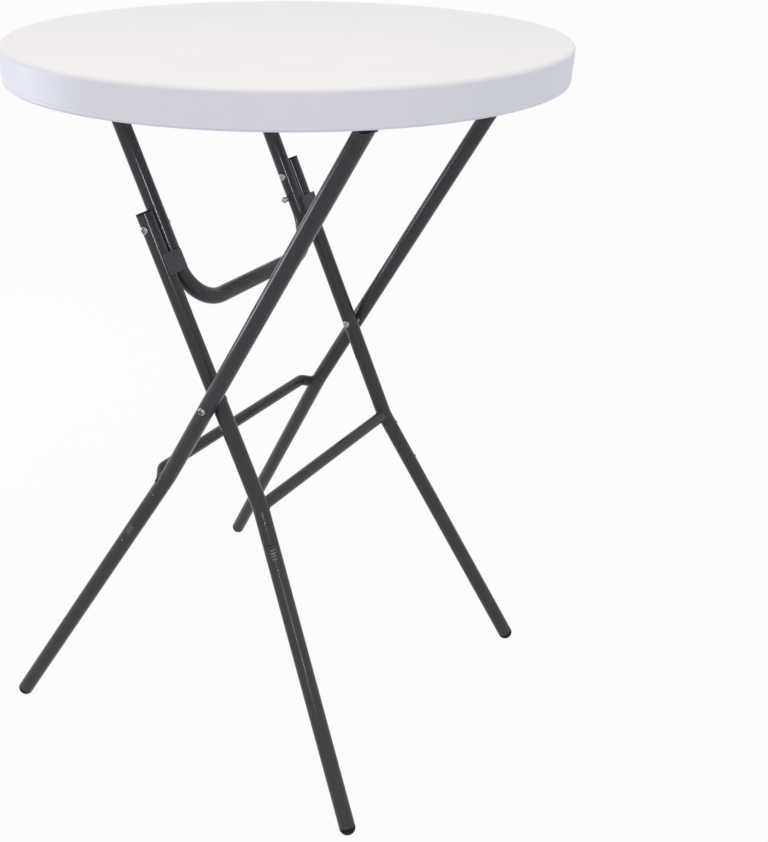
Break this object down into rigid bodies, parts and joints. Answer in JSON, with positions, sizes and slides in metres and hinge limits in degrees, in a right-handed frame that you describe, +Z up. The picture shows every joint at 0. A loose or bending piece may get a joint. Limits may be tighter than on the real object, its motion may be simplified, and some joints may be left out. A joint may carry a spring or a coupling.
{
  "type": "folding cocktail table",
  "caption": "Round bar-height folding table: white moulded top on crossed black tube legs that splay at the feet, with a hinged brace that folds the frame flat under the top.",
  "frame": {"origin": "on the floor, under the middle of the round top", "axes": "+Z up; the frame folds in the XZ plane and every pivot runs along Y; the outer legs stand at -X and the inner legs at +X"},
  "size_m": [0.7995, 0.7996, 1.1],
  "materials": {
    "top_plastic": "white blow-moulded polyethylene with a fine moulded grain and a smoother rim",
    "leg_coat": "satin charcoal-black powder coat on steel tube",
    "plate_coat": "matt dark grey powder coat on steel plate",
    "zinc_steel": "bright zinc plate",
    "plug_plastic": "black moulded plastic",
    "saddle_plastic": "off-white moulded nylon"
  },
  "bodies": {
    "top": {"table_top": "top_plastic", "saddle_screws": "zinc_steel", "outer_hinge_saddle_left": "saddle_plastic", "outer_hinge_saddle_right": "saddle_plastic", "outer_hinge_strap_left": "zinc_steel", "outer_hinge_strap_right": "zinc_steel", "brace_hinge_saddle_left": "saddle_plastic", "brace_hinge_saddle_right": "saddle_plastic", "brace_hinge_strap_left": "zinc_steel", "brace_hinge_strap_right": "zinc_steel"},
    "outer_frame": {"outer_upper_leg_left": "leg_coat", "outer_upper_leg_right": "leg_coat", "outer_lower_leg_left": "leg_coat", "outer_lower_leg_right": "leg_coat", "outer_leg_sleeve_left": "zinc_steel", "outer_leg_sleeve_right": "zinc_steel", "outer_foot_left": "plug_plastic", "outer_foot_right": "plug_plastic", "outer_upper_rivets": "leg_coat", "outer_lower_rivets": "leg_coat", "outer_crossbar": "leg_coat", "outer_hinge_tube": "leg_coat", "outer_hinge_plugs": "plug_plastic", "pivot_bolts": "zinc_steel", "pivot_nuts": "zinc_steel", "pivot_spacers": "zinc_steel"},
    "inner_frame": {"inner_upper_leg_left": "leg_coat", "inner_upper_leg_right": "leg_coat", "inner_lower_leg_left": "leg_coat", "inner_lower_leg_right": "leg_coat", "inner_leg_sleeve_left": "zinc_steel", "inner_leg_sleeve_right": "zinc_steel", "inner_foot_left": "plug_plastic", "inner_foot_right": "plug_plastic", "inner_upper_rivets": "leg_coat", "inner_lower_rivets": "leg_coat", "inner_crossbar": "leg_coat", "inner_leg_plug_left": "plug_plastic", "inner_leg_plug_right": "plug_plastic", "brace_bolts": "zinc_steel"},
    "brace": {"brace_tube": "leg_coat", "brace_hinge_tube": "leg_coat", "brace_hinge_plugs": "plug_plastic", "stop_plate_left": "plate_coat", "stop_plate_right": "plate_coat", "brace_bolt_ends": "zinc_steel", "brace_nuts": "zinc_steel", "lock_bush": "leg_coat"},
    "lock": {"lock_pin": "zinc_steel", "lock_knob": "zinc_steel"}
  },
  "joints": [
    {"name": "leg_fold", "type": "hinge", "parent": "top", "child": "outer_frame", "pos_m": [0.262, 0, 1.048], "axis": [0, 1, 0], "range_deg": [0, 57.86]},
    {"name": "leg_cross", "type": "hinge", "parent": "outer_frame", "child": "inner_frame", "pos_m": [0.00978, 0, 0.60473], "axis": [0, 1, 0], "range_deg": [0, 52.65]},
    {"name": "brace_fold", "type": "hinge", "parent": "top", "child": "brace", "pos_m": [-0.19975, 0, 1.048], "axis": [0, -1, 0], "range_deg": [0, 64.78]},
    {"name": "lock_slide", "type": "slide", "parent": "brace", "child": "lock", "axis": [0, 1, 0], "range_m": [0, 0.006]}
  ],
  "couplings": [
    {"joint": "leg_cross", "follows": "leg_fold", "ratio": 0.90991},
    {"joint": "brace_fold", "follows": "leg_fold", "ratio": 1.1194}
  ]
}
